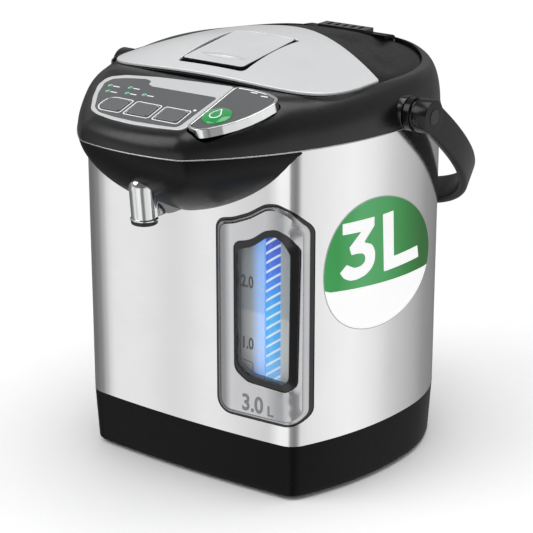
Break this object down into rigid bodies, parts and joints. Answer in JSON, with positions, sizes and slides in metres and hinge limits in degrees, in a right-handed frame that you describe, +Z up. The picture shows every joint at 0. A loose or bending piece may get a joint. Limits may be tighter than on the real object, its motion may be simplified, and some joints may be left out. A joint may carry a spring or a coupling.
{
  "type": "electric thermo pot",
  "caption": "Insulated electric hot water pot with a hinged lid, beak with spout, press paddle, key panel, lit water gauge window and swinging carry handle.",
  "frame": {"origin": "centre of the whole pot's bounding box, on the plane its feet stand on", "axes": "+Z up, -Y towards the spout and its beak, +X to the right as seen from the front, where the gauge window is"},
  "size_m": [0.2538, 0.294, 0.2802],
  "materials": {
    "base_plastic": "satin black moulded plastic",
    "bottom_plastic": "fine-grained black plastic",
    "foot_rubber": "soft black rubber",
    "screw_steel": "zinc-plated steel",
    "spring_steel": "drawn spring wire",
    "board_green": "solder-masked circuit board",
    "contact_brass": "plated contact pins",
    "brushed_shell": "finely polished stainless sheet",
    "pot_steel": "drawn stainless steel",
    "heater_aluminium": "cast aluminium heater plate",
    "white_plastic": "off-white engineering plastic",
    "silicone_hose": "translucent food-grade silicone",
    "gauge_glass": "clear tube with lit water",
    "gauge_card": "pale printed card",
    "light_strip": "blue light strip",
    "window_metal": "satin metal-look frame",
    "clear_pane": "clear polycarbonate",
    "head_plastic": "satin gloss black moulded plastic",
    "spout_chrome": "bright chrome plate",
    "nozzle_rubber": "black nozzle ring",
    "panel_grey": "metallic grey film",
    "key_grey": "metallic grey keys with pale outlines",
    "lens_green": "small green indicator lenses",
    "switch_black": "black switch bodies",
    "trim_metal": "bright metallised trim",
    "button_green": "glossy green dome",
    "cover_silver": "bright silver metal plate",
    "handle_plastic": "gloss black moulded plastic"
  },
  "bodies": {
    "pot": {"base_housing": "base_plastic", "base_plate": "bottom_plastic", "rubber_feet": "foot_rubber", "base_screws": "screw_steel", "power_board": "board_green", "power_inlet": "base_plastic", "inlet_pins": "contact_brass", "steel_shell": "brushed_shell", "inner_pot": "pot_steel", "pot_base": "pot_steel", "pot_lip": "pot_steel", "heating_plate": "heater_aluminium", "thermostat": "white_plastic", "pump_housing": "white_plastic", "pump_motor": "screw_steel", "intake_hose": "silicone_hose", "riser_hose": "silicone_hose", "gauge_tube": "gauge_glass", "gauge_backing": "gauge_card", "gauge_light_strip": "light_strip", "window_frame": "window_metal", "window_bezel": "head_plastic", "window_pane": "clear_pane", "spout_hose": "silicone_hose", "head_collar": "head_plastic", "neck_ring": "white_plastic", "beak_bowl": "head_plastic", "spout": "spout_chrome", "spout_nozzle": "nozzle_rubber", "control_panel": "panel_grey", "indicator_lenses": "lens_green", "control_board": "board_green", "key_switches": "switch_black", "board_screws": "screw_steel", "paddle_pin": "screw_steel", "paddle_spring": "spring_steel", "dispense_switch": "switch_black", "lid_hinge_pin": "screw_steel", "handle_pins": "screw_steel"},
    "pump_rotor": {"motor_shaft": "screw_steel", "pump_impeller": "white_plastic"},
    "select_button": {"select_key": "key_grey"},
    "reboil_button": {"reboil_key": "key_grey"},
    "unlock_button": {"unlock_key": "key_grey"},
    "paddle": {"dispense_paddle": "panel_grey", "paddle_trim": "trim_metal", "dispense_button": "button_green"},
    "lid": {"lid_shell": "head_plastic", "lid_cover": "cover_silver", "lid_liner": "pot_steel", "lid_gasket": "silicone_hose", "steam_vent": "head_plastic", "release_pin": "screw_steel", "release_spring": "spring_steel"},
    "release": {"release_plate": "cover_silver"},
    "bolt": {"release_bolt": "switch_black"},
    "handle": {"carry_handle": "handle_plastic", "handle_caps": "handle_plastic"}
  },
  "joints": [
    {"name": "lid_hinge", "type": "hinge", "parent": "pot", "child": "lid", "pos_m": [0, 0.10254, 0.261], "axis": [-1, 0, 0], "range_deg": [0, 85]},
    {"name": "release_rock", "type": "hinge", "parent": "lid", "child": "release", "pos_m": [0, -0.01328, 0.27436], "axis": [1, 0, 0], "range_deg": [0, 4], "stiffness_Nm_per_rad": 1.2, "springref_deg": -2.86, "deforming": ["release_spring"]},
    {"name": "bolt_slide", "type": "slide", "parent": "lid", "child": "bolt", "axis": [0, 1, 0], "range_m": [0, 0.004]},
    {"name": "paddle_press", "type": "hinge", "parent": "pot", "child": "paddle", "pos_m": [0.05, -0.08411, 0.25756], "axis": [1, 0, 0], "range_deg": [0, 3], "stiffness_Nm_per_rad": 1.5, "springref_deg": -2.86, "deforming": ["paddle_spring"]},
    {"name": "select_press", "type": "slide", "parent": "pot", "child": "select_button", "axis": [0, 0.2874, -0.9578], "range_m": [0, 0.0006], "stiffness_N_per_m": 800, "springref_m": -0.0005},
    {"name": "reboil_press", "type": "slide", "parent": "pot", "child": "reboil_button", "axis": [0, 0.2874, -0.9578], "range_m": [0, 0.0006], "stiffness_N_per_m": 800, "springref_m": -0.0005},
    {"name": "unlock_press", "type": "slide", "parent": "pot", "child": "unlock_button", "axis": [0, 0.2874, -0.9578], "range_m": [0, 0.0006], "stiffness_N_per_m": 800, "springref_m": -0.0005},
    {"name": "pump_spin", "type": "hinge", "parent": "pot", "child": "pump_rotor", "pos_m": [0.033, -0.03445, 0.027], "axis": [0, 0, 1], "continuous": true},
    {"name": "handle_swing", "type": "hinge", "parent": "pot", "child": "handle", "pos_m": [0, 0.00354, 0.243], "axis": [1, 0, 0], "range_deg": [0, 150]}
  ],
  "couplings": [
    {"joint": "bolt_slide", "follows": "release_rock", "m_per_rad": 0.055}
  ]
}
